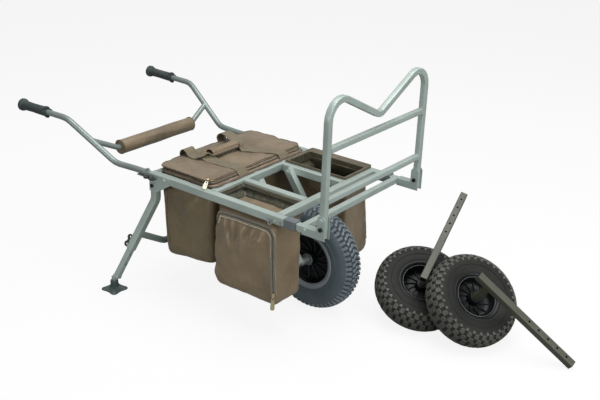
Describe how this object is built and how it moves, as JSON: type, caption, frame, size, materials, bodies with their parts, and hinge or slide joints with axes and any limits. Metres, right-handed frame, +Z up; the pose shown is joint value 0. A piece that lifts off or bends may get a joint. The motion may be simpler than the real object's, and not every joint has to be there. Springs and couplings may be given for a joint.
{
  "type": "fishing trolley",
  "caption": "Fishing barrow of square tube with a front wheel, folding legs and hoop, long handles, fabric bags and spare wheels on arms.",
  "frame": {"origin": "on the floor below the middle of the whole set", "axes": "+X to the front wheel, +Y to the side where the spare wheels stand, +Z up"},
  "size_m": [2.0178, 0.8894, 0.86],
  "materials": {
    "frame_paint": "grey green satin paint",
    "galvanised_plate": "dull galvanised",
    "plated_steel": "zinc plated",
    "black_plastic": "moulded matt",
    "tyre": "moulded tread",
    "grip_rubber": "ribbed soft rubber",
    "bag_fabric": "brown woven fabric",
    "pad_fabric": "brown sleeve over foam"
  },
  "bodies": {
    "root": {"rail_far": "frame_paint", "rail_near": "frame_paint", "crossbar_front": "frame_paint", "crossbar_middle": "frame_paint", "crossbar_rear": "frame_paint", "inner_bar_far": "frame_paint", "inner_bar_near": "frame_paint", "rail_sleeve_far": "black_plastic", "rail_sleeve_near": "black_plastic", "rail_catch_far": "galvanised_plate", "rail_catch_near": "galvanised_plate", "gusset_far": "galvanised_plate", "gusset_near": "galvanised_plate", "fork_arm_far": "frame_paint", "fork_arm_near": "frame_paint", "wheel_axle": "plated_steel", "leg_pivot_bolt_far": "plated_steel", "leg_pivot_bolt_near": "plated_steel", "main_bag": "bag_fabric", "pocket_bag_far": "bag_fabric", "pocket_bag_near": "bag_fabric", "spare_arm_left": "frame_paint", "spare_arm_right": "frame_paint"},
    "wheel": {"front_tyre": "tyre", "front_rim": "black_plastic"},
    "extension": {"extension_frame": "frame_paint", "hoop_bracket_near": "galvanised_plate", "hoop_bracket_far": "galvanised_plate", "hoop_pivot_bolt_near": "plated_steel", "hoop_pivot_bolt_far": "plated_steel"},
    "hoop": {"hoop_tube": "frame_paint", "hoop_crossbar_lower": "frame_paint", "hoop_crossbar_upper": "frame_paint"},
    "handles": {"handle_tube_near": "frame_paint", "handle_tube_far": "frame_paint", "grip_near": "grip_rubber", "grip_far": "grip_rubber", "grip_collar_near": "black_plastic", "grip_collar_far": "black_plastic", "handle_crossbar": "frame_paint", "handle_pad": "pad_fabric", "handle_stop_near": "galvanised_plate", "handle_stop_far": "galvanised_plate"},
    "legs": {"leg_tube_near": "frame_paint", "leg_tube_far": "frame_paint", "leg_brace": "frame_paint"},
    "lower_leg_near": {"lower_leg_near": "frame_paint"},
    "lower_leg_far": {"lower_leg_far": "frame_paint"},
    "foot_near": {"foot_near": "black_plastic"},
    "foot_far": {"foot_far": "black_plastic"},
    "leg_knob_near": {"leg_knob_near": "black_plastic"},
    "leg_knob_far": {"leg_knob_far": "black_plastic"},
    "rail_knob_near": {"rail_knob_near": "black_plastic"},
    "rail_knob_far": {"rail_knob_far": "black_plastic"},
    "lid": {"main_bag_lid": "bag_fabric"},
    "spare_wheel_left": {"spare_tyre_left": "tyre", "spare_rim_left": "black_plastic"},
    "spare_wheel_right": {"spare_tyre_right": "tyre", "spare_rim_right": "black_plastic"}
  },
  "joints": [
    {"name": "wheel_spin", "type": "hinge", "parent": "root", "child": "wheel", "pos_m": [0.11972, -0.01769, 0.188], "axis": [0, 1, 0], "continuous": true},
    {"name": "extension_slide", "type": "slide", "parent": "root", "child": "extension", "axis": [1, 0, 0], "range_m": [0, 0.09]},
    {"name": "hoop_fold", "type": "hinge", "parent": "extension", "child": "hoop", "pos_m": [0.34642, -0.01769, 0.457], "axis": [0, 1, 0], "range_deg": [-80, 0]},
    {"name": "handle_slide", "type": "slide", "parent": "root", "child": "handles", "axis": [-1, 0, 0], "range_m": [0, 0.12]},
    {"name": "leg_fold", "type": "hinge", "parent": "root", "child": "legs", "pos_m": [-0.37128, -0.01769, 0.402], "axis": [0, 1, 0], "range_deg": [0, 70]},
    {"name": "lower_leg_near_slide", "type": "slide", "parent": "legs", "child": "lower_leg_near", "axis": [-0.3006, -0.3188, -0.8989], "range_m": [-0.08, 0.08]},
    {"name": "foot_near_tilt", "type": "hinge", "parent": "lower_leg_near", "child": "foot_near", "pos_m": [-0.47828, -0.39769, 0.028], "axis": [0, 1, 0], "range_deg": [-20, 20]},
    {"name": "leg_knob_near_turn", "type": "hinge", "parent": "legs", "child": "leg_knob_near", "pos_m": [-0.44166, -0.34474, 0.17941], "axis": [-0.9524, 0.0505, 0.3006], "continuous": true},
    {"name": "rail_knob_near_turn", "type": "hinge", "parent": "root", "child": "rail_knob_near", "pos_m": [-0.37028, -0.30129, 0.4345], "axis": [0, -1, 0], "continuous": true},
    {"name": "lower_leg_far_slide", "type": "slide", "parent": "legs", "child": "lower_leg_far", "axis": [-0.3006, 0.3188, -0.8989], "range_m": [-0.08, 0.08]},
    {"name": "foot_far_tilt", "type": "hinge", "parent": "lower_leg_far", "child": "foot_far", "pos_m": [-0.47828, 0.36231, 0.028], "axis": [0, 1, 0], "range_deg": [-20, 20]},
    {"name": "leg_knob_far_turn", "type": "hinge", "parent": "legs", "child": "leg_knob_far", "pos_m": [-0.44166, 0.30935, 0.17941], "axis": [-0.9524, -0.0505, 0.3006], "continuous": true},
    {"name": "rail_knob_far_turn", "type": "hinge", "parent": "root", "child": "rail_knob_far", "pos_m": [-0.37028, 0.26591, 0.4345], "axis": [0, 1, 0], "continuous": true},
    {"name": "lid_open", "type": "hinge", "parent": "root", "child": "lid", "pos_m": [-0.37428, -0.01769, 0.449], "axis": [0, -1, 0], "range_deg": [0, 95]},
    {"name": "spare_wheel_left_spin", "type": "hinge", "parent": "root", "child": "spare_wheel_left", "pos_m": [0.45322, 0.16181, 0.10861], "axis": [0.357, -0.3436, 0.8686], "continuous": true},
    {"name": "spare_wheel_right_spin", "type": "hinge", "parent": "root", "child": "spare_wheel_right", "pos_m": [0.64372, 0.16531, 0.12926], "axis": [0.6116, -0.2839, 0.7385], "continuous": true}
  ]
}
